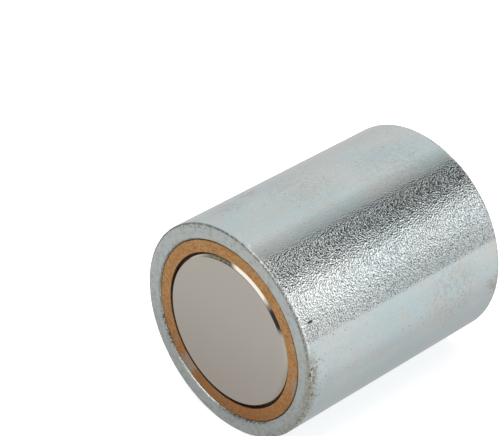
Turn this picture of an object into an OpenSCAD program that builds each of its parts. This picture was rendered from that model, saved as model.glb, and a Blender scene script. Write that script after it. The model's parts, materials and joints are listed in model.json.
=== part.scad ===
// Deep-pot holding magnet for magnet fishing: a turned steel pot with a rear
// thread, and a magnet disc set into its front behind a brass spacer ring.
// It lies on its side, with its axis along Y. The holding face looks along -Y
// and its centre is the origin; the threaded end looks along +Y.

/* [Steel pot] */
// Outside diameter of the pot
pot_d = 50; // [40:0.5:80]
// Length from the holding face to the rear face
pot_length = 60; // [52:1:90]
// Thickness of the wall round the pocket
pot_wall = 3.8; // [3:0.1:6]
// Depth of the pocket that holds the magnet
pocket_depth = 15; // [8:0.5:18]
// Chamfer at the pocket's mouth
pocket_chamfer = 0.3; // [0.1:0.05:0.5]
// Small edge break round the holding face
front_edge_break = 0.4; // [0.1:0.05:0.8]
// Chamfer round the rear face
rear_chamfer = 1.2; // [0.4:0.1:2]

/* [Brass spacer ring] */
// Wall thickness of the brass ring
ring_wall = 2.9; // [2:0.1:4]
// How far the brass sits below the holding face
ring_recess = 0.2; // [0:0.05:0.45]

/* [Magnet] */
// Radial gap between the magnet and the brass ring
magnet_gap = 0.2; // [0.1:0.05:1]
// Chamfer on both edges of the magnet
magnet_chamfer = 0.8; // [0.3:0.05:1.2]

/* [Adhesive] */
// Radial film of adhesive between the brass ring and the pocket's wall
ring_film = 0.1; // [0.05:0.01:0.2]
// How far the adhesive sits below the holding face
adhesive_recess = 0.5; // [0.45:0.05:1.5]

/* [Rear thread] */
// Nominal thread diameter
thread_d = 12; // [8:1:14]
// Thread pitch
thread_pitch = 1.75; // [1.25:0.25:2]
// Depth of full thread below the rear face
thread_depth = 20; // [12:0.5:22]
// Plain drilled depth below the last thread
drill_run_out = 3; // [2:0.5:5]
// How much wider than the thread the countersink's mouth is
countersink_margin = 0.8; // [0.2:0.1:2]

/* [Hidden] */
$fn = 128;

drill_point_angle = 118;
// How far a cutting tool reaches past the face it starts from.
overcut = 1;

pot_r = pot_d / 2;
pocket_r = pot_r - pot_wall;
ring_outer_r = pocket_r - ring_film;
ring_inner_r = ring_outer_r - ring_wall;
magnet_r = ring_inner_r - magnet_gap;

// The wall of the tapped hole stands at the tapping drill's size.
tap_drill_r = (thread_d - thread_pitch) / 2;
drill_depth = thread_depth + drill_run_out;
drill_tip = tap_drill_r / tan(drill_point_angle / 2);
countersink_r = (thread_d + countersink_margin) / 2;

zinc_colour = [0.74, 0.78, 0.82];
brass_colour = [0.72, 0.47, 0.27];
nickel_colour = [0.66, 0.63, 0.60];
adhesive_colour = [0.16, 0.11, 0.08];

// Lays a piece that was turned about Z on its side: Z becomes Y.
module lie_down() {
    rotate([-90, 0, 0]) children();
}

// A ring turned about Z, between two radii and two heights.
module ring(inner_r, outer_r, from, to) {
    translate([0, 0, from])
        difference() {
            cylinder(r = outer_r, h = to - from);
            translate([0, 0, -overcut])
                cylinder(r = inner_r, h = to - from + 2 * overcut);
        }
}

// The pot's outside: a bar with a broken front edge and a chamfered rear edge.
module pot_blank() {
    rotate_extrude()
        polygon([
            [0, 0],
            [pot_r - front_edge_break, 0],
            [pot_r, front_edge_break],
            [pot_r, pot_length - rear_chamfer],
            [pot_r - rear_chamfer, pot_length],
            [0, pot_length]
        ]);
}

// The pocket for the ring and the magnet, with its chamfered mouth.
module magnet_pocket() {
    translate([0, 0, -overcut])
        cylinder(r = pocket_r, h = pocket_depth + overcut);
    translate([0, 0, -overcut])
        cylinder(r1 = pocket_r + pocket_chamfer + overcut, r2 = pocket_r, h = pocket_chamfer + overcut);
}

// The blind tapped hole, drawn from the rear face downwards.
module tapped_hole() {
    translate([0, 0, pot_length]) {
        mirror([0, 0, 1]) {
            translate([0, 0, -overcut])
                cylinder(r = tap_drill_r, h = drill_depth + overcut);
            translate([0, 0, drill_depth])
                cylinder(r1 = tap_drill_r, r2 = 0, h = drill_tip);
            translate([0, 0, -overcut])
                cylinder(
                    r1 = countersink_r + overcut,
                    r2 = tap_drill_r,
                    h = countersink_r - tap_drill_r + overcut
                );
        }
    }
}

module pot_body() {
    color(zinc_colour)
        lie_down()
            difference() {
                pot_blank();
                magnet_pocket();
                tapped_hole();
            }
}

module brass_ring() {
    color(brass_colour)
        lie_down()
            ring(ring_inner_r, ring_outer_r, ring_recess, pocket_depth);
}

// A disc with both of its edges chamfered, as sintered magnets are.
module magnet_disc() {
    flat_r = magnet_r - magnet_chamfer;
    color(nickel_colour)
        lie_down()
            rotate_extrude()
                polygon([
                    [0, 0],
                    [flat_r, 0],
                    [magnet_r, magnet_chamfer],
                    [magnet_r, pocket_depth - magnet_chamfer],
                    [flat_r, pocket_depth],
                    [0, pocket_depth]
                ]);
}

module ring_adhesive() {
    color(adhesive_colour)
        lie_down()
            ring(ring_outer_r, pocket_r, adhesive_recess, pocket_depth);
}

module magnet_adhesive() {
    color(adhesive_colour)
        lie_down()
            ring(magnet_r, ring_inner_r, adhesive_recess + magnet_chamfer, pocket_depth);
}

pot_body();
brass_ring();
magnet_disc();
ring_adhesive();
magnet_adhesive();
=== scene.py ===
"""The looks of a deep-pot holding magnet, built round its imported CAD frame.

The magnet lies on its side: its axis is Y, the holding face looks along -Y.
Everything is in metres; MM turns millimetres into metres.
"""

import json
import math

import bmesh
import bpy
from mathutils import Matrix, Vector, noise


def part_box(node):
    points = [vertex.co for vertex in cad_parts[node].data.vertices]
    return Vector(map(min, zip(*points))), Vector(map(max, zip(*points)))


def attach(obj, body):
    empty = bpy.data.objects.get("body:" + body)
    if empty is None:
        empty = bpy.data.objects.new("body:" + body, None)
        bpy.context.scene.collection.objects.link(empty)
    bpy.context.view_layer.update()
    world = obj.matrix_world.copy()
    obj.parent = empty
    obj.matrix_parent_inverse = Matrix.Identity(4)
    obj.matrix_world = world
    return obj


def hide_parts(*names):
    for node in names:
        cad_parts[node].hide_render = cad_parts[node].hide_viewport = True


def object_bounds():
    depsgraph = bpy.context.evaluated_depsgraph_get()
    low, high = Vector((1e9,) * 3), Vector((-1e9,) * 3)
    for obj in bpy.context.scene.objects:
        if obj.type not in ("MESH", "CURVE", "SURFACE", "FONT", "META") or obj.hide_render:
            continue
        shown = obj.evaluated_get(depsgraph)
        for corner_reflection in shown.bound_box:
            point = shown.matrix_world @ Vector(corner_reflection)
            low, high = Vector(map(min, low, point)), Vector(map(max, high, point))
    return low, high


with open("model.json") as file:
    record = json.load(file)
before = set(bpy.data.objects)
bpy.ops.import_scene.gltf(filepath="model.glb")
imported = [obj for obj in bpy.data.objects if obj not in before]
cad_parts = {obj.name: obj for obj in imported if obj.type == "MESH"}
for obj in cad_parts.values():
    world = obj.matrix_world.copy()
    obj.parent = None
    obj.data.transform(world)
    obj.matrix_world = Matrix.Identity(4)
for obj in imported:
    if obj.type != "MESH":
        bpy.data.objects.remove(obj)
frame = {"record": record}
cad_low, cad_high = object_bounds()

MM = 0.001
ORIGIN = Vector((0, 0, 0))


# ================================================================ dimensions
# Main sizes come from the CAD nodes' boxes and the record's mounts; the small
# edge sizes repeat those of the CAD part.
def mount(name):
    return next(m for m in frame["record"]["mounts"] if m["name"] == name)


pot_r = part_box("pot_body")[1].x
pot_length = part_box("pot_body")[1].y
pocket_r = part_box("ring_adhesive")[1].x
pocket_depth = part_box("magnet_disc")[1].y
ring_outer_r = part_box("brass_ring")[1].x
ring_inner_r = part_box("magnet_adhesive")[1].x
ring_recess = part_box("brass_ring")[0].y
magnet_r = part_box("magnet_disc")[1].x
tap_r = mount("rear_thread")["dims"]["r_mm"] * MM

magnet_chamfer = 0.8 * MM
pocket_chamfer = 0.3 * MM
front_break = 0.4 * MM
rear_chamfer = 1.2 * MM
thread_r = 6.0 * MM
thread_pitch = 1.75 * MM
thread_depth = 20.0 * MM
drill_depth = 23.0 * MM
drill_half_angle = math.radians(59)
countersink_r = 6.4 * MM


# ============================================================= mesh building
class Turned:
    """A mesh of rings of points round the Y axis, joined one after another."""

    def __init__(self):
        self.points = []
        self.faces = []

    def point(self, radius, y, angle):
        self.points.append((radius * math.cos(angle), y, radius * math.sin(angle)))
        return len(self.points) - 1

    def ring(self, radius, y, count):
        """A ring of points; radius and y are numbers or functions of the angle."""
        made = []
        for i in range(count):
            angle = 2 * math.pi * i / count
            r = radius(angle) if callable(radius) else radius
            h = y(angle) if callable(y) else y
            made.append(self.point(r, h, angle))
        return made

    def rings(self, profile, count):
        return [self.ring(r, y, count) for r, y in profile]

    def join(self, a, b):
        """Quads between two rings of the same count."""
        n = len(a)
        for i in range(n):
            j = (i + 1) % n
            self.faces.append((a[i], a[j], b[j], b[i]))

    def chain(self, rings, closed=False):
        for a, b in zip(rings, rings[1:]):
            self.join(a, b)
        if closed:
            self.join(rings[-1], rings[0])

    def join_coarse(self, fine, coarse):
        """Joins a ring to one that has a whole fraction of its points."""
        n = len(coarse)
        step = len(fine) // n
        for i in range(n):
            run = [fine[(i * step + k) % len(fine)] for k in range(step + 1)]
            self.faces.append((*run, coarse[(i + 1) % n], coarse[i]))

    def close(self, ring, y):
        """Closes a ring with triangles to a point on the axis."""
        tip = self.point(0, y, 0)
        n = len(ring)
        for i in range(n):
            self.faces.append((ring[i], ring[(i + 1) % n], tip))

    def piece(self, name, replaced, material):
        """Makes the object, on the CAD's one body, in place of a CAD node."""
        mesh = bpy.data.meshes.new(name)
        mesh.from_pydata(self.points, [], self.faces)
        bm = bmesh.new()
        bm.from_mesh(mesh)
        bmesh.ops.recalc_face_normals(bm, faces=bm.faces)
        bm.to_mesh(mesh)
        bm.free()
        mesh.shade_smooth()
        mesh.materials.append(material)
        obj = bpy.data.objects.new(name, mesh)
        bpy.context.scene.collection.objects.link(obj)
        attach(obj, "root")
        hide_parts(replaced)
        return obj


def arc(centre_r, centre_y, radius, start, end, steps):
    """Profile points of an arc; 0 degrees points outwards, 90 towards +Y."""
    angles = [math.radians(start + (end - start) * i / steps) for i in range(steps + 1)]
    return [(centre_r + radius * math.cos(a), centre_y + radius * math.sin(a)) for a in angles]


def ripple(angle, turns, seed):
    """Smooth noise round a ring, from about -1 to 1."""
    return noise.noise(Vector((turns * math.cos(angle), turns * math.sin(angle), seed)))


def nicks(angle, turns, seed, threshold):
    """Zero on most of a ring, rising towards 1 where its edge was knocked."""
    return max(0.0, ripple(angle, turns, seed) - threshold) / (1 - threshold)


# ------------------------------------------------------------ threaded hole
THREAD_POINTS = 96
# One pitch of the thread's profile: share of the pitch, share of its depth.
THREAD_PROFILE = [
    (0.00, 0.00), (0.11, 0.00), (0.15, 0.05), (0.29, 0.50), (0.42, 0.96),
    (0.50, 1.00), (0.58, 0.96), (0.71, 0.50), (0.85, 0.05), (0.89, 0.00),
]
# Where the countersink's cone is as wide as the thread.
THREAD_START = countersink_r - thread_r


def thread_wall(body):
    """A true helical thread. Returns its first ring, at the countersink, and its last."""
    count, rows = THREAD_POINTS, len(THREAD_PROFILE)
    turns = int((thread_depth - THREAD_START) / thread_pitch) - 1
    last = turns * rows

    def depth_of(row):
        share = THREAD_PROFILE[row % rows][0]
        return THREAD_START + thread_pitch * (row // rows + share)

    def radius_of(row, depth, fade=1.0):
        cut = THREAD_PROFILE[row % rows][1] * (thread_r - tap_r) * fade
        cone = countersink_r - depth
        return max(tap_r + cut, cone)

    def place(row, depth, column, fade=1.0):
        angle = 2 * math.pi * column / count
        return body.point(radius_of(row, depth, fade), pot_length - depth, angle)

    # Rows that follow the helix: each ends one pitch deeper than it began.
    main = {}
    lead, run_out = {}, {}
    for column in range(count):
        turned = column / count
        for row in range(last + 1):
            main[row, column] = place(row, depth_of(row) + thread_pitch * turned, column)
        for row in range(rows):
            if column:
                shallow = THREAD_START + (depth_of(row) - THREAD_START) * turned
                lead[row, column] = place(row, shallow, column)
            deep = depth_of(last) + thread_pitch * turned
            deep += (depth_of(last + row + 1) - depth_of(last)) * (1 - turned)
            run_out[row + 1, column] = place(last + row + 1, deep, column, 1 - turned)

    def quads(near, far):
        """Faces between two columns, each a list of points down the hole."""
        for k in range(len(near) - 1):
            corners = [near[k], near[k + 1], far[k + 1], far[k]]
            face = [c for i, c in enumerate(corners) if c not in corners[:i]]
            if len(face) > 2:
                body.faces.append(tuple(face))

    def column_points(column):
        if column == 0:
            top = [main[0, 0]] * rows
        else:
            top = [lead[row, column] for row in range(rows)]
        middle = [main[row, column] for row in range(last + 1)]
        bottom = [run_out[row + 1, column] for row in range(rows)]
        return top + middle + bottom

    columns = [column_points(c) for c in range(count)]
    for c in range(count - 1):
        quads(columns[c], columns[c + 1])
    # Across the seam every row meets the one a pitch further down.
    final = columns[-1]
    seam = [main[row, 0] for row in range(last + 1)]
    seam += [run_out[row + 1, 0] for row in range(rows)]
    quads(final, seam + [seam[-1]] * (len(final) - len(seam)))
    first_ring = [columns[c][0] for c in range(count)]
    last_ring = [columns[c][-1] for c in range(count)]
    return first_ring, last_ring


# ------------------------------------------------------------------- pieces
def make_pot(material):
    body = Turned()
    count = 384
    tip_depth = drill_depth + tap_r / math.tan(drill_half_angle)

    # The blind hole, from its drilled tip up to the countersink.
    drilled = body.ring(tap_r, pot_length - drill_depth, THREAD_POINTS)
    body.close(drilled, pot_length - tip_depth)
    thread_top, thread_end = thread_wall(body)
    body.join(drilled, thread_end)
    lip = 0.08 * MM
    mouth = body.rings(
        [
            (countersink_r - lip, pot_length - lip),
            (countersink_r, pot_length - 0.3 * lip),
            (countersink_r + lip, pot_length),
            (countersink_r + 4 * lip, pot_length),
        ],
        THREAD_POINTS,
    )
    body.chain([thread_top, *mouth])

    # The rear face and its worn chamfer.
    def worn_rear(height):
        """A ring of the chamfer, knocked in where the edge is worn."""
        def radius(angle):
            knock = 0.16 * MM * nicks(angle, 9, 3.1, 0.25) + 0.05 * MM * ripple(angle, 22, 5.7)
            return pot_r - rear_chamfer + height - max(0, knock)
        return radius

    blend = 0.12 * MM
    rear = [body.ring(r, pot_length, count) for r in (8 * MM, 16 * MM, pot_r - rear_chamfer - 4 * blend)]
    body.join_coarse(rear[0], mouth[-1])
    chamfer = [
        body.ring(pot_r - rear_chamfer - blend, pot_length, count),
        body.ring(worn_rear(0.2 * blend), pot_length - 0.3 * blend, count),
        body.ring(worn_rear(blend), pot_length - 1.2 * blend, count),
        body.ring(worn_rear(0.5 * rear_chamfer), pot_length - 0.5 * rear_chamfer, count),
        body.ring(worn_rear(rear_chamfer - 1.2 * blend), pot_length - rear_chamfer + blend, count),
        body.ring(worn_rear(rear_chamfer - 0.3 * blend), pot_length - rear_chamfer + 0.1 * blend, count),
        body.ring(pot_r, pot_length - rear_chamfer - 1.2 * blend, count),
    ]
    side = [body.ring(pot_r, pot_length * k / 6, count) for k in (5.8, 5, 4, 3, 2, 1, 0.2)]
    body.chain([*rear, *chamfer, *side])

    # The front edge: a small, uneven rounding.
    def worn_front(radius, share):
        """A ring of the front edge; share is how much of each knock it takes."""
        def knocked(angle):
            knock = 0.16 * MM * nicks(angle, 14, 8.4, 0.2) + 0.04 * MM * ripple(angle, 30, 2.2)
            return radius - share * max(0, knock)
        return knocked

    edge = []
    for k, (r, y) in enumerate(arc(pot_r - front_break, front_break, front_break, 0, -90, 5)):
        share = math.sin(math.pi * (k + 0.5) / 6)
        edge.append(body.ring(worn_front(r, share), y, count))
    land = [body.ring(pot_r - front_break - 0.3 * MM, 0, count)]
    land.append(body.ring(0.5 * (pot_r + pocket_r), 0, count))
    land.append(body.ring(pocket_r + pocket_chamfer + 0.12 * MM, 0, count))

    # The pocket's mouth, cut a little unevenly.
    def ragged(radius):
        return lambda angle: radius + 0.05 * MM * ripple(angle, 26, 6.3)

    bottom = [
        body.ring(ragged(pocket_r + pocket_chamfer), 0.02 * MM, count),
        body.ring(ragged(pocket_r + 0.4 * pocket_chamfer), 0.6 * pocket_chamfer, count),
        body.ring(pocket_r, pocket_chamfer, count),
        body.ring(pocket_r, pocket_depth, count),
    ]
    body.chain([side[-1], *edge, *land, *bottom])
    body.close(bottom[-1], pocket_depth)
    return body.piece("pot_shell", "pot_body", material)


def make_ring(material):
    body = Turned()
    soft = 0.12 * MM
    profile = [(ring_inner_r, pocket_depth), (ring_outer_r, pocket_depth)]
    profile += [(ring_outer_r, ring_recess + 2 * soft)]
    profile += arc(ring_outer_r - soft, ring_recess + soft, soft, 0, -90, 4)
    profile += [(ring_outer_r - 3 * soft, ring_recess), (ring_inner_r + 3 * soft, ring_recess)]
    profile += arc(ring_inner_r + soft, ring_recess + soft, soft, -90, -180, 4)
    profile += [(ring_inner_r, ring_recess + 2 * soft)]
    body.chain(body.rings(profile, 256), closed=True)
    return body.piece("brass_spacer", "brass_ring", material)


def make_magnet(material):
    body = Turned()
    flat_r = magnet_r - magnet_chamfer
    # Both corners of the chamfer are slightly rounded.
    soft = 0.18 * MM
    inset = soft * math.tan(math.radians(22.5))
    front = arc(magnet_r - soft, magnet_chamfer + inset, soft, 0, -45, 4)
    front += arc(flat_r - inset, soft, soft, -45, -90, 4)
    back = [(r, pocket_depth - y) for r, y in reversed(front)]
    inner = [(flat_r - 0.3 * MM, 0), (0.5 * flat_r, 0)]
    rings = body.rings([(0.5 * flat_r, pocket_depth), *back, *front, *inner], 256)
    body.chain(rings)
    body.close(rings[0], pocket_depth)
    body.close(rings[-1], 0)
    return body.piece("magnet_plated_disc", "magnet_disc", material)


def make_bead(name, inner_r, outer_r, top, swing, replaced, material):
    """Cured adhesive between two walls: a hollow, uneven top on a plain ring."""
    body = Turned()
    middle = 0.5 * (inner_r + outer_r)

    def level(sag):
        return lambda angle: top + swing * (1 + ripple(angle, 12, 4.4)) + sag

    sag = 0.35 * (outer_r - inner_r)
    rings = [
        body.ring(inner_r, pocket_depth, 192),
        body.ring(outer_r, pocket_depth, 192),
        body.ring(outer_r, level(0), 192),
        body.ring(0.5 * (middle + outer_r), level(0.7 * sag), 192),
        body.ring(middle, level(sag), 192),
        body.ring(0.5 * (middle + inner_r), level(0.7 * sag), 192),
        body.ring(inner_r, level(0), 192),
    ]
    body.chain(rings, closed=True)
    return body.piece(name, replaced, material)


# ================================================================= materials
class Graph:
    """Adds shader nodes to one material, or to the world, and links them."""

    def __init__(self, tree):
        self.tree = tree
        self.tree.nodes.clear()

    def node(self, kind, **settings):
        made = self.tree.nodes.new("ShaderNode" + kind)
        for key, value in settings.items():
            setattr(made, key, value)
        return made

    def feed(self, socket, value):
        """Links value if it is a socket, and otherwise sets it."""
        if isinstance(value, bpy.types.NodeSocket):
            self.tree.links.new(value, socket)
        else:
            socket.default_value = value

    def math(self, operation, a, b=0.0):
        made = self.node("Math", operation=operation)
        self.feed(made.inputs[0], a)
        self.feed(made.inputs[1], b)
        return made.outputs[0]

    def times(self, *values):
        out = values[0]
        for v in values[1:]:
            out = self.math("MULTIPLY", out, v)
        return out

    def remap(self, value, low, high, to_low=0.0, to_high=1.0):
        """A smooth step of value from low to high."""
        made = self.node("MapRange", interpolation_type="SMOOTHSTEP")
        for socket, v in zip(made.inputs, (value, low, high, to_low, to_high)):
            self.feed(socket, v)
        return made.outputs[0]

    def mix(self, share, a, b):
        """Colour a, turning into colour b as share goes from 0 to 1."""
        made = self.node("Mix", data_type="RGBA")
        self.feed(made.inputs["Factor"], share)
        for socket, colour in ((made.inputs[6], a), (made.inputs[7], b)):
            self.feed(socket, (*colour, 1) if isinstance(colour, tuple) else colour)
        return made.outputs[2]

    def noise(self, where, size, detail=2.0, rough=0.5):
        """Noise from 0 to 1 with blobs of about size, in metres."""
        made = self.node("TexNoise")
        self.feed(made.inputs["Vector"], where)
        self.feed(made.inputs["Scale"], 1 / size)
        self.feed(made.inputs["Detail"], detail)
        self.feed(made.inputs["Roughness"], rough)
        return made.outputs["Fac"]

    def cells(self, where, size, smoothness):
        """Rounded, closely packed bumps of about size."""
        made = self.node("TexVoronoi", feature="SMOOTH_F1")
        self.feed(made.inputs["Vector"], where)
        self.feed(made.inputs["Scale"], 1 / size)
        self.feed(made.inputs["Smoothness"], smoothness)
        return made.outputs["Distance"]

    def dots(self, where, spacing, radius, share):
        """Round dots of that radius in about that share of cells."""
        made = self.node("TexVoronoi")
        self.feed(made.inputs["Vector"], where)
        self.feed(made.inputs["Scale"], 1 / spacing)
        pick = self.node("SeparateColor")
        self.feed(pick.inputs[0], made.outputs["Color"])
        size = radius / spacing
        inside = self.remap(made.outputs["Distance"], 0.5 * size, size, 1.0, 0.0)
        chosen = self.remap(pick.outputs[0], 1 - share, 1 - 0.9 * share)
        return self.times(inside, chosen)

    def bump(self, height, distance, normal=None):
        made = self.node("Bump")
        self.feed(made.inputs["Height"], height)
        self.feed(made.inputs["Distance"], distance)
        if normal is not None:
            self.feed(made.inputs["Normal"], normal)
        return made.outputs[0]


class Surface(Graph):
    """A material on the object's own coordinates, with its turned ones too."""

    def __init__(self, name, roughness=0.5, metallic=1.0):
        self.material = bpy.data.materials.new(name)
        self.material.use_nodes = True
        super().__init__(self.material.node_tree)
        self.shader = self.node("BsdfPrincipled")
        self.feed(self.shader.inputs["Metallic"], metallic)
        self.feed(self.shader.inputs["Roughness"], roughness)
        out = self.node("OutputMaterial")
        self.feed(out.inputs[0], self.shader.outputs[0])
        self.where = self.node("TexCoord").outputs["Object"]
        split = self.node("SeparateXYZ")
        self.feed(split.inputs[0], self.where)
        self.x, self.y, self.z = split.outputs
        across = self.math("ADD", self.times(self.x, self.x), self.times(self.z, self.z))
        self.r = self.math("SQRT", across)
        turn = self.math("ARCTAN2", self.z, self.x)
        self.turn = self.math("MULTIPLY", turn, 180 / math.pi)

    def stretched(self, x, y, z):
        """Coordinates scaled along each axis, so that noise runs in streaks."""
        made = self.node("Mapping")
        self.feed(made.inputs["Vector"], self.where)
        made.inputs["Scale"].default_value = (x, y, z)
        return made.outputs[0]

    def coiled(self, per_degree):
        """Coordinates along the radius and round the axis, for turning marks."""
        made = self.node("CombineXYZ")
        self.feed(made.inputs[0], self.r)
        self.feed(made.inputs[1], self.times(self.turn, per_degree))
        return made.outputs[0]

    def near_ring(self, radius, y, reach):
        """1 on the circle of that radius at height y, falling to 0 at reach."""
        dr = self.math("SUBTRACT", self.r, radius)
        dy = self.math("SUBTRACT", self.y, y)
        away = self.math("SQRT", self.math("ADD", self.times(dr, dr), self.times(dy, dy)))
        return self.remap(away, 0.0, reach, 1.0, 0.0)

    def sector(self, start, end, soft=6.0):
        """1 between two angles from +X towards +Z, in degrees from -180 to 180."""
        after = self.remap(self.turn, start - soft, start + soft)
        before = self.remap(self.turn, end - soft, end + soft, 1.0, 0.0)
        return self.times(after, before)

    def band(self, value, low, high, soft):
        """1 where value lies between low and high."""
        after = self.remap(value, low - soft, low + soft)
        before = self.remap(value, high - soft, high + soft, 1.0, 0.0)
        return self.times(after, before)

    def most(self, *values):
        out = values[0]
        for v in values[1:]:
            out = self.math("MAXIMUM", out, v)
        return out

    def near_point(self, point, reach):
        """1 at a point, falling to 0 at reach from it."""
        away = self.node("VectorMath", operation="DISTANCE")
        self.feed(away.inputs[0], self.where)
        self.feed(away.inputs[1], point)
        return self.remap(away.outputs["Value"], 0.3 * reach, reach, 1.0, 0.0)

    def finish(self, colour=None, roughness=None, normal=None, metallic=None):
        sockets = self.shader.inputs
        for name, value in (
            ("Base Color", colour),
            ("Roughness", roughness),
            ("Normal", normal),
            ("Metallic", metallic),
        ):
            if value is not None:
                self.feed(sockets[name], value)
        return self.material


# Height of the ground plate's grain.
GRIT_HEIGHT = 0.095 * MM

# Colours of the zinc plate, of what lies on it, and of the painted highlight and painted shade on it.
BLUE_ZINC = (0.575, 0.68, 0.70)
PALE_ZINC = (0.655, 0.70, 0.69)
WARM_ZINC = (0.675, 0.645, 0.585)
DULL_ZINC = (0.53, 0.58, 0.585)
SPOTTED_ZINC = (0.49, 0.54, 0.545)
UNDERSIDE_ZINC = (0.62, 0.74, 0.765)
GROUND_ZINC = (0.655, 0.69, 0.655)
# Painted highlight and painted shade for the ground bands.
GROUND_HIGHLIGHT_ZINC = (0.82, 0.845, 0.81)
GROUND_SHADE_ZINC = (0.50, 0.53, 0.515)
PIT = (0.20, 0.24, 0.29)
FACE_ZINC = (0.675, 0.715, 0.69)
FACE_SMEAR = (0.47, 0.48, 0.44)
TURNING_MARK = (0.50, 0.53, 0.53)
RUBBED_RING = (0.70, 0.62, 0.55)
HOLE_ZINC = (0.47, 0.50, 0.47)
BARE_EDGE_AND_HIGHLIGHT = (0.95, 0.93, 0.86)
GRIME_AND_SHADE = (0.10, 0.088, 0.065)
NICK = (0.02, 0.018, 0.015)
BROWN_STAIN = (0.40, 0.36, 0.285)


def on_side(degrees, y):
    """A point on the pot's side at an angle from +X towards +Z."""
    a = math.radians(degrees)
    return (pot_r * math.cos(a), y, pot_r * math.sin(a))


class Zinc(Surface):
    """Zinc plate: masks for the areas of the pot, and noises that its layers share."""

    def __init__(self):
        super().__init__("zinc_plate")
        s = self
        s.wall = s.band(s.r, pot_r - 0.5 * MM, pot_r + 1 * MM, 0.1 * MM)
        s.face = s.remap(s.y, 0.0, 0.3 * MM, 1.0, 0.0)
        s.rear = s.remap(s.y, pot_length - 0.3 * MM, pot_length)
        s.hole = s.times(s.remap(s.r, 6.3 * MM, 6.7 * MM, 1.0, 0.0), s.remap(s.y, 20 * MM, 22 * MM))
        s.clouds = s.noise(s.stretched(1, 0.5, 1), 9 * MM, 3)
        s.fine = s.noise(s.where, 1.6 * MM, 3)
        s.tiny = s.noise(s.where, 0.5 * MM, 3, 0.6)
        s.jagged = s.noise(s.where, 0.4 * MM, 2, 0.6)
        s.patchy = s.noise(s.where, 0.6 * MM, 3, 0.65)
        s.broken = s.noise(s.where, 2.6 * MM, 2)
        # The plate is grainy where it was ground, in bands along the body.
        right_band = s.times(s.remap(s.turn, 18.5, 21.5), s.remap(s.turn, 58, 72, 1.0, 0.0))
        bands = s.most(right_band, s.sector(148, 176, 5), s.sector(-150, -95, 5))
        s.ground = s.times(bands, s.wall)
        # Where grime gathers on the lower side, behind the holding face.
        s.low_rim = s.near_ring(pot_r, 0.5 * MM, 2.4 * MM)

    def plate_colour(self):
        """Cloudy passivation: bluish, with paler and faintly warm streaks."""
        s = self
        colour = s.mix(s.remap(s.clouds, 0.35, 0.65), BLUE_ZINC, PALE_ZINC)
        warm = s.noise(s.stretched(1, 0.35, 1), 2.6 * MM, 5, 0.65)
        warm = s.times(s.remap(warm, 0.48, 0.68), s.remap(s.ground, 0.0, 1.0, 0.62, 0.12))
        colour = s.mix(warm, colour, WARM_ZINC)
        colour = s.mix(s.times(s.remap(s.fine, 0.35, 0.75), 0.25), colour, DULL_ZINC)
        colour = s.mix(s.times(s.remap(s.tiny, 0.48, 0.72), 0.5), colour, SPOTTED_ZINC)
        # The underside is a cooler blue.
        cool = s.times(s.wall, s.remap(s.turn, -26, -6, 0.75, 0.0))
        colour = s.mix(cool, colour, UNDERSIDE_ZINC)
        # The ground bands are more neutral. Painted highlight makes them paler towards the holding face, and
        # painted shade makes them duller towards the rear.
        colour = s.mix(s.times(s.ground, 0.45), colour, GROUND_ZINC)
        front_highlight = s.times(s.ground, s.remap(s.y, 4 * MM, 36 * MM, 0.55, 0.0))
        colour = s.mix(front_highlight, colour, GROUND_HIGHLIGHT_ZINC)
        rear_shade = s.times(s.ground, s.remap(s.y, 20 * MM, 44 * MM, 0.0, 0.3))
        colour = s.mix(rear_shade, colour, GROUND_SHADE_ZINC)
        # Dark bluish pits between the grains, more of them towards the rear, where they add to the painted
        # shade.
        pits = s.remap(s.noise(s.where, 0.27 * MM, 1), 0.5, 0.66)
        pits = s.times(pits, s.ground, s.remap(s.y, 2 * MM, 34 * MM, 0.55, 0.95))
        pits = s.times(pits, s.remap(s.turn, 24, 48, 1.5, 1.0))
        return s.mix(pits, colour, PIT)

    def handled_colour(self, colour):
        """The end faces were handled more: warm grey smears. The threaded hole is darker."""
        s = self
        colour = s.mix(s.times(s.face, 0.7), colour, FACE_ZINC)
        smears = s.remap(s.noise(s.where, 1.5 * MM, 5, 0.7), 0.45, 0.64)
        smears = s.times(smears, s.most(s.face, s.times(s.rear, 0.4)), 0.6)
        colour = s.mix(smears, colour, FACE_SMEAR)
        # Faint turning marks on the rear face, and a warm, rubbed ring round the hole.
        rounds = s.noise(s.coiled(0.02 * MM), 0.4 * MM, 2)
        rounds = s.times(s.remap(rounds, 0.5, 0.7), s.remap(s.broken, 0.4, 0.6), s.rear)
        colour = s.mix(s.times(rounds, 0.3), colour, TURNING_MARK)
        halo = s.times(s.remap(s.r, 6.6 * MM, 9 * MM, 1.0, 0.0), s.rear, s.remap(s.patchy, 0.36, 0.56))
        colour = s.mix(s.times(halo, 0.7), colour, RUBBED_RING)
        return s.mix(s.times(s.hole, 0.7), colour, HOLE_ZINC)

    def worn_and_highlit_edges(self):
        """Masks of the nearly bare edges, partly real wear and partly painted highlight: the cream-coloured
        one, and all of them.
        """
        s = self
        # Partly wear and partly painted highlight: a cream band on one side of the front edge.
        cream = s.times(s.near_ring(pot_r, 0.7 * MM, 0.6 * MM), s.sector(12, 50, 5))
        cream = s.times(cream, s.remap(s.jagged, 0.46, 0.55), 0.85)
        # Painted highlight: glints along the front edge, on one side only.
        glints = s.times(s.near_ring(pot_r - 0.3 * MM, 0.05 * MM, 0.4 * MM), s.sector(60, 78, 3))
        glints = s.times(glints, s.remap(s.jagged, 0.5, 0.56))
        # Partly wear and partly painted highlight: pale marks round the pocket's lip, on one side only.
        lip = s.times(s.near_ring(pocket_r + 0.3 * MM, 0, 0.55 * MM), s.sector(-146, -98, 6))
        lip = s.times(lip, s.remap(s.jagged, 0.5, 0.56), s.remap(s.fine, 0.42, 0.52))
        rear_rim = s.near_ring(pot_r - 0.6 * rear_chamfer, pot_length - 0.4 * rear_chamfer, 1.0 * MM)
        rear_rim = s.times(rear_rim, s.remap(s.jagged, 0.46, 0.56))
        return cream, s.most(cream, glints, lip, rear_rim)

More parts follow.
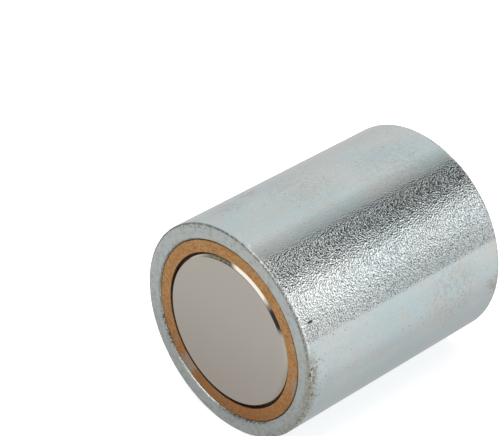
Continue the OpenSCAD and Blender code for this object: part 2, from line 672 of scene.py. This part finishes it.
    def rim_grime_and_shade(self):
        """Brown and dark grime along the holding face's outer edge, and a dark line of painted shade just
        inside the edge on one side.
        """
        s = self
        upper = s.times(s.near_ring(pot_r - 0.2 * MM, 0.12 * MM, 0.5 * MM), s.sector(76, 165, 4))
        upper = s.times(upper, s.remap(s.patchy, 0.36, 0.5))
        # Painted shade: a dark line just inside the edge, as if shaded by a burr.
        shade_line = s.times(s.near_ring(pot_r - 0.35 * MM, 0.05 * MM, 0.6 * MM), s.sector(-10, 84, 10))
        shade_line = s.times(shade_line, s.remap(s.patchy, 0.38, 0.54), 0.9)
        crumbs = s.times(s.near_ring(pot_r - 0.9 * MM, 0, 0.6 * MM), s.sector(104, 126, 6))
        crumbs = s.times(crumbs, s.remap(s.patchy, 0.5, 0.6))
        low = s.times(s.low_rim, s.sector(-50, 12, 8), s.remap(s.patchy, 0.43, 0.56), 1.1)
        thick = s.times(s.dots(s.where, 0.8 * MM, 0.27 * MM, 0.7), s.wall, s.sector(-60, 14, 8))
        thick = s.times(thick, s.remap(s.y, 7.5 * MM, 1.5 * MM, 0.0, 1.0))
        return s.most(upper, shade_line, crumbs, low, thick)

    def lip_grime_and_shade(self):
        """Grime round the pocket's mouth and on the holding face's steel, and a dark line of painted shade
        all round the mouth, at the gap by the brass ring.
        """
        s = self
        # Painted shade: a dark line all round the mouth of the gap.
        shade_line = s.times(s.near_ring(pocket_r, 0.05 * MM, 0.26 * MM), 0.8)
        # The ends beyond 180 degrees keep this one whole across the seam.
        far = s.most(s.sector(118, 190, 8), s.sector(-190, -142, 6))
        far = s.times(far, s.near_ring(pocket_r + 0.15 * MM, 0.02 * MM, 0.42 * MM))
        far = s.times(far, s.remap(s.patchy, 0.4, 0.5))
        smudge = s.most(s.sector(-98, -50, 8), s.sector(-168, -142, 5))
        smudge = s.times(smudge, s.near_ring(pocket_r, 0, 1.3 * MM))
        smudge = s.times(smudge, s.remap(s.patchy, 0.4, 0.54), 1.2)
        scuffs = s.times(s.face, s.sector(-62, -26, 8), s.remap(s.patchy, 0.5, 0.64))
        scuffs = s.times(scuffs, s.remap(s.broken, 0.35, 0.6), 0.6)
        return s.most(shade_line, far, smudge, scuffs)

    def rear_grime(self):
        """Patches of grime along the rear face's chamfer."""
        s = self
        dark_marks = s.near_ring(pot_r - 0.3 * rear_chamfer, pot_length - 0.7 * rear_chamfer, 1.3 * MM)
        return s.times(dark_marks, s.remap(s.patchy, 0.46, 0.6), s.remap(s.broken, 0.36, 0.55))

    def specks(self):
        """Lone dark specks, more of them on the rear face."""
        s = self
        everywhere = s.times(s.dots(s.where, 1.4 * MM, 0.24 * MM, 0.2), 0.7)
        behind = s.times(s.dots(s.where, 0.9 * MM, 0.17 * MM, 0.5), s.rear)
        behind = s.times(behind, s.remap(s.broken, 0.38, 0.6), 0.75)
        return s.most(everywhere, behind)

    def stains(self, rear_grime):
        """Faint brown stains, on the side and where the grime is thickest."""
        s = self
        stains = s.most(
            s.near_point(on_side(117, 16 * MM), 3.4 * MM),
            s.times(s.near_point(on_side(113, 9 * MM), 6 * MM), 0.6),
            s.times(s.near_point(on_side(97, 24 * MM), 11 * MM), 0.35),
            s.times(s.near_point(on_side(77, 46 * MM), 14 * MM), 0.3),
            s.times(s.near_point(on_side(3, 44 * MM), 11 * MM), 0.42),
            s.near_point(on_side(-6, 58 * MM), 4 * MM),
            s.times(s.low_rim, s.sector(-60, 14, 8), 1.2),
            s.times(rear_grime, 0.5),
        )
        return s.times(stains, s.remap(s.noise(s.where, 1.0 * MM, 4, 0.65), 0.42, 0.6), 0.72)

    def relief(self, nick):
        """The grain's normal, with small dents along the front edges."""
        s = self
        grit = s.cells(s.where, 0.37 * MM, 0.6)
        share = s.times(s.remap(s.ground, 0.0, 1.0, 0.16, 1.0), s.remap(s.hole, 0.0, 1.0, 1.0, 0.1))
        edges = s.most(s.near_ring(pot_r, 0, 0.8 * MM), s.near_ring(pocket_r + 0.2 * MM, 0, 0.8 * MM))
        height = s.math("ADD", s.times(grit, share), s.times(s.jagged, edges))
        height = s.math("SUBTRACT", height, s.times(nick, 2.0))
        return s.bump(height, GRIT_HEIGHT)


def zinc():
    s = Zinc()
    colour = s.handled_colour(s.plate_colour())
    cream, wear_and_highlight = s.worn_and_highlit_edges()
    # Bare edges and painted highlight share one pale colour.
    colour = s.mix(s.times(wear_and_highlight, 0.9), colour, BARE_EDGE_AND_HIGHLIGHT)
    rear_grime = s.rear_grime()
    # Real grime and specks, with the painted shade lines along the front edge and the pocket's mouth.
    dark_marks = s.most(s.rim_grime_and_shade(), s.lip_grime_and_shade(), rear_grime, s.specks())
    colour = s.mix(dark_marks, colour, GRIME_AND_SHADE)
    # A short dark nick near the holding face.
    nick = s.times(s.band(s.y, 2.3 * MM, 3.6 * MM, 0.25 * MM), s.band(s.turn, 29.3, 30.4, 0.3), s.wall)
    colour = s.mix(nick, colour, NICK)
    dark_marks = s.most(dark_marks, nick)
    colour = s.mix(s.stains(rear_grime), colour, BROWN_STAIN)
    rough = s.remap(s.clouds, 0.2, 0.8, 0.08, 0.12)
    rough = s.most(rough, s.times(dark_marks, 0.6), s.times(wear_and_highlight, 0.42), s.times(s.hole, 0.34))
    metal = s.math("SUBTRACT", s.remap(dark_marks, 0.0, 1.0, 1.0, 0.3), s.times(cream, 0.6))
    return s.finish(colour, rough, s.relief(nick), metal)


BRASS = (0.80, 0.485, 0.225)
DARK_BRASS = (0.58, 0.265, 0.08)
DULL_BRASS = (0.54, 0.27, 0.09)
LOWER_BRASS_SHADE = (0.40, 0.13, 0.035)
BRASS_SPOT = (0.32, 0.17, 0.07)
TAN_RESIDUE = (0.56, 0.40, 0.27)
GREY_RESIDUE = (0.50, 0.47, 0.42)
RING_SHADOW = (0.16, 0.09, 0.05)
BORE_SHADOW = (0.055, 0.03, 0.02)


def brass():
    s = Surface("tarnished_brass")
    mottle = s.noise(s.where, 0.6 * MM, 4, 0.65)
    broad = s.noise(s.where, 6 * MM, 2)
    colour = s.mix(s.remap(mottle, 0.32, 0.66), DARK_BRASS, BRASS)
    colour = s.mix(s.times(s.remap(broad, 0.45, 0.7), 0.3), colour, DULL_BRASS)
    # Painted shade: redder and darker towards the bottom.
    colour = s.mix(s.remap(s.z, -20 * MM, 4 * MM, 0.5, 0.0), colour, LOWER_BRASS_SHADE)
    # Tiny tarnish spots, and two smears of greyish residue.
    spots = s.remap(s.noise(s.where, 0.35 * MM, 2), 0.56, 0.68)
    colour = s.mix(s.times(spots, 0.4), colour, BRASS_SPOT)
    edge = s.noise(s.where, 0.8 * MM, 2)
    ragged = s.math("ADD", s.turn, s.times(edge, 9.0))
    wide = s.band(ragged, -131, -119, 0.8)
    outer = s.math("ADD", s.r, s.times(s.math("ADD", s.turn, 22), 0.1 * MM))
    narrow = s.times(s.sector(-22, -6, 1.5), s.remap(outer, 20.9 * MM, 21.2 * MM))
    residue = s.times(s.most(wide, narrow), 0.75)
    colour = s.mix(residue, colour, s.mix(s.remap(edge, 0.35, 0.6), TAN_RESIDUE, GREY_RESIDUE))
    outside = s.near_ring(ring_outer_r, ring_recess, 0.25 * MM)
    colour = s.mix(s.times(outside, 0.5), colour, RING_SHADOW)
    # Painted shade: the bore is dark below its edge, where the narrow gap to the magnet shades it.
    bore_shade = s.times(s.remap(s.r, 0.02 * MM + ring_inner_r, 0.14 * MM + ring_inner_r, 1.0, 0.0), 0.95)
    bore_shade = s.times(bore_shade, s.remap(s.y, ring_recess, 0.15 * MM + ring_recess, 0.35, 1.0))
    colour = s.mix(bore_shade, colour, BORE_SHADOW)
    grain = s.noise(s.where, 0.3 * MM, 3, 0.6)
    normal = s.bump(grain, 0.09 * MM)
    metal = s.math("SUBTRACT", 1.0, s.times(bore_shade, 0.8))
    return s.finish(colour, s.remap(mottle, 0.2, 0.8, 0.42, 0.55), normal, metal)


NICKEL = (0.64, 0.595, 0.525)
PALE_NICKEL = (0.665, 0.62, 0.55)
PINKISH_REFLECTION_NICKEL = (0.72, 0.64, 0.57)
LOWER_REFLECTION_NICKEL = (0.73, 0.64, 0.56)
NICKEL_SPOT = (0.45, 0.38, 0.33)
CHAMFER_NICKEL = (0.69, 0.65, 0.55)
OLIVE_SMEAR = (0.24, 0.21, 0.08)
CORNER_DARK_REFLECTION = (0.10, 0.085, 0.07)


def nickel():
    s = Surface("nickel_plate")
    faint = s.noise(s.where, 6 * MM, 2)
    colour = s.mix(faint, NICKEL, PALE_NICKEL)
    # A faint pinkish border, a painted reflection of the edge's rounding; a warmer lower half, a painted
    # tint of what the lower face mirrors; and tiny spots from handling.
    border_reflection = s.band(s.r, 15.6 * MM, 16.7 * MM, 0.4 * MM)
    colour = s.mix(s.times(border_reflection, s.noise(s.where, 2 * MM, 3), 0.35), colour, PINKISH_REFLECTION_NICKEL)
    colour = s.mix(s.remap(s.z, -16 * MM, -2 * MM, 0.4, 0.0), colour, LOWER_REFLECTION_NICKEL)
    dust = s.dots(s.where, 1.9 * MM, 0.13 * MM, 0.10)
    colour = s.mix(s.times(dust, 0.35), colour, NICKEL_SPOT)
    # The chamfer is brighter, with some residue along it, and a thin dark line of painted reflection at its
    # inner corner on the upper side.
    chamfer = s.remap(s.y, 0.05 * MM, 0.2 * MM)
    colour = s.mix(s.times(chamfer, 0.6), colour, CHAMFER_NICKEL)
    smear = s.times(chamfer, s.sector(90, 106, 3), s.remap(s.noise(s.where, 0.7 * MM, 2), 0.4, 0.55))
    colour = s.mix(s.times(smear, 0.9), colour, OLIVE_SMEAR)
    corner_reflection = s.times(s.near_ring(magnet_r - magnet_chamfer, 0, 0.2 * MM), s.sector(36, 110, 10))
    colour = s.mix(s.times(corner_reflection, 0.5), colour, CORNER_DARK_REFLECTION)
    normal = s.bump(s.noise(s.where, 0.8 * MM, 2), 0.003 * MM)
    rough = s.math("SUBTRACT", s.remap(faint, 0.3, 0.7, 0.12, 0.18), s.times(chamfer, 0.07))
    return s.finish(colour, rough, normal, s.math("SUBTRACT", 1.0, s.times(smear, 0.7)))


ADHESIVE = (0.03, 0.018, 0.012)
PALE_ADHESIVE = (0.075, 0.045, 0.028)


def adhesive():
    s = Surface("cured_adhesive", metallic=0.0)
    blotch = s.noise(s.where, 0.8 * MM, 3)
    colour = s.mix(blotch, ADHESIVE, PALE_ADHESIVE)
    return s.finish(colour, s.remap(blotch, 0.3, 0.7, 0.35, 0.6), s.bump(blotch, 0.05 * MM))


make_pot(zinc())
make_ring(brass())
make_magnet(nickel())
resin = adhesive()
make_bead("magnet_bond_bead", magnet_r, ring_inner_r, 1.0 * MM, 0.1 * MM, "magnet_adhesive", resin)
make_bead("ring_bond_bead", ring_outer_r, pocket_r, 0.3 * MM, 0.1 * MM, "ring_adhesive", resin)


# ==================================================== floor, light and camera
FLOOR_REACH = 4.0
FLOOR_COLOUR = (0.55, 0.56, 0.56, 1)
FLOOR_GLOW = 0.7


def make_floor():
    size = FLOOR_REACH
    mesh = bpy.data.meshes.new("floor")
    z = cad_low.z
    corners = [(-size, -size, z), (size, -size, z), (size, size, z), (-size, size, z)]
    mesh.from_pydata(corners, [], [(0, 1, 2, 3)])
    obj = bpy.data.objects.new("floor", mesh)
    bpy.context.scene.collection.objects.link(obj)
    s = Surface("pale_floor", 0.9, 0.0)
    s.feed(s.shader.inputs["Base Color"], FLOOR_COLOUR)
    s.feed(s.shader.inputs["Specular IOR Level"], 0.0)
    s.feed(s.shader.inputs["Emission Color"], (1, 1, 1, 1))
    s.feed(s.shader.inputs["Emission Strength"], FLOOR_GLOW)
    mesh.materials.append(s.material)
    # The metal mirrors the studio's own lower half instead.
    obj.visible_glossy = False


# The studio's soft boxes and dark gaps round the magnet's axis, as
# (degrees from straight up towards +X, level).
BEHIND = [
    (-179, 0.54), (-158, 0.50), (-130, 0.55), (-106, 0.66), (-60, 0.79), (-22, 0.83), (-11, 0.64), (0, 0.46),
    (8, 0.14), (14, 0.04), (20, 0.04), (28, 0.25), (38, 0.56), (47, 1.62), (57, 1.80), (66, 1.24),
    (75, 1.14), (83, 0.72), (88, 0.50), (92, 0.93), (125, 0.85), (155, 0.66), (179, 0.56),
]
AHEAD = [
    (-179, 0.62), (-110, 0.62), (-78, 0.34), (-62, 0.09), (-46, 0.09), (-33, 1.40),
    (22, 1.40), (33, 0.85), (44, 0.32), (53, 0.05), (80, 0.05), (98, 0.60), (179, 0.62),
]


def make_world():
    """A white studio with long soft boxes and dark gaps along the magnet's axis.

    Brightness depends on the angle round Y, from straight up towards +X, with
    one set of bands behind and beside the magnet and another in front of it.
    """
    world = bpy.data.worlds.new("studio")
    bpy.context.scene.world = world
    world.use_nodes = True
    g = Graph(world.node_tree)
    split = g.node("SeparateXYZ")
    g.feed(split.inputs[0], g.node("TexCoord").outputs["Generated"])
    x, y, z = split.outputs
    turn = g.math("ARCTAN2", x, z)

    def bands(stops):
        """A smooth ramp of grey over angles in degrees, each (angle, level)."""
        ramp = g.node("ValToRGB")
        ramp.color_ramp.interpolation = "EASE"
        g.feed(ramp.inputs[0], g.math("ADD", g.math("DIVIDE", turn, 2 * math.pi), 0.5))
        elements = ramp.color_ramp.elements
        while len(elements) < len(stops):
            elements.new(0.5)
        for element, (angle, level) in zip(elements, stops):
            element.position = angle / 360 + 0.5
            element.color = (level, level, level, 1)
        return ramp.outputs[0]

    behind = bands(BEHIND)
    ahead = bands(AHEAD)
    beside = g.times(g.remap(y, -0.35, -0.15), g.remap(y, 0.06, 0.2, 1.0, 0.0))
    light = g.mix(g.math("MAXIMUM", g.remap(y, 0.3, 0.5), beside), ahead, behind)
    seen = g.node("LightPath").outputs["Is Camera Ray"]
    background = g.node("Background")
    g.feed(background.inputs["Color"], g.mix(seen, light, (1.0, 1.0, 1.0)))
    out = g.node("OutputWorld")
    g.feed(out.inputs[0], background.outputs[0])


CARD_REACH = 300 * MM
CARD_LIFT = 0.05 * MM


def make_front_card():
    """A glowing card that stands in for the table before the holding face, seen only in the metal's
    reflections; a painted shadow makes it dimmer close by.
    """
    z = cad_low.z + CARD_LIFT
    reach = CARD_REACH
    mesh = bpy.data.meshes.new("front_card")
    corners = [(-reach, -reach, z), (reach, -reach, z), (reach, 0, z), (-reach, 0, z)]
    mesh.from_pydata(corners, [], [(0, 1, 2, 3)])
    obj = bpy.data.objects.new("front_card", mesh)
    bpy.context.scene.collection.objects.link(obj)
    s = Surface("front_card", 1.0, 0.0)
    # Painted shadow: the glow is dimmer close to the pot.
    level = s.remap(s.y, -38 * MM, 2 * MM, 0.61, 0.42)
    s.feed(s.shader.inputs["Base Color"], (0, 0, 0, 1))
    s.feed(s.shader.inputs["Specular IOR Level"], 0.0)
    s.feed(s.shader.inputs["Emission Color"], (1, 1, 1, 1))
    s.feed(s.shader.inputs["Emission Strength"], level)
    mesh.materials.append(s.material)
    obj.visible_camera = False
    obj.visible_diffuse = False
    obj.visible_shadow = False


KEY_POWER = 6.0
KEY_SIZE = 0.6
KEY_PLACE = (0.1, -0.1, 0.9)


def make_key_light():
    data = bpy.data.lights.new("key", "AREA")
    data.energy = KEY_POWER
    data.size = KEY_SIZE
    obj = bpy.data.objects.new("key", data)
    obj.location = KEY_PLACE
    aim = ORIGIN - obj.location
    obj.rotation_euler = aim.to_track_quat("-Z", "Y").to_euler()
    obj.visible_glossy = False
    bpy.context.scene.collection.objects.link(obj)


CAMERA_AZIMUTH = math.radians(45.92)
CAMERA_ELEVATION = math.radians(33.26)
CAMERA_ROLL = math.radians(0.55)
CAMERA_DISTANCE = 0.5199
CAMERA_LENS = 170
SENSOR_WIDTH = 36
# How far the magnet's middle sits right of and below the middle of the frame.
FRAME_RIGHT = 16.77 * MM
FRAME_DOWN = 12.92 * MM


def make_camera():
    middle = (cad_low + cad_high) / 2
    flat = math.cos(CAMERA_ELEVATION)
    back = Vector((
        math.sin(CAMERA_AZIMUTH) * flat,
        -math.cos(CAMERA_AZIMUTH) * flat,
        math.sin(CAMERA_ELEVATION),
    ))
    level = (-back).to_track_quat("-Z", "Y").to_matrix()
    turned = level @ Matrix.Rotation(CAMERA_ROLL, 3, "Z")
    right, up = turned.col[0], turned.col[1]
    data = bpy.data.cameras.new("camera")
    data.lens = CAMERA_LENS
    data.sensor_width = SENSOR_WIDTH
    data.clip_start = 0.01
    data.clip_end = 20
    camera = bpy.data.objects.new("camera", data)
    place = middle - FRAME_RIGHT * right + FRAME_DOWN * up + CAMERA_DISTANCE * back
    camera.matrix_world = Matrix.Translation(place) @ turned.to_4x4()
    bpy.context.scene.collection.objects.link(camera)
    bpy.context.scene.camera = camera


make_floor()
make_front_card()
make_world()
make_key_light()
make_camera()
bpy.context.scene.view_settings.view_transform = "Standard"
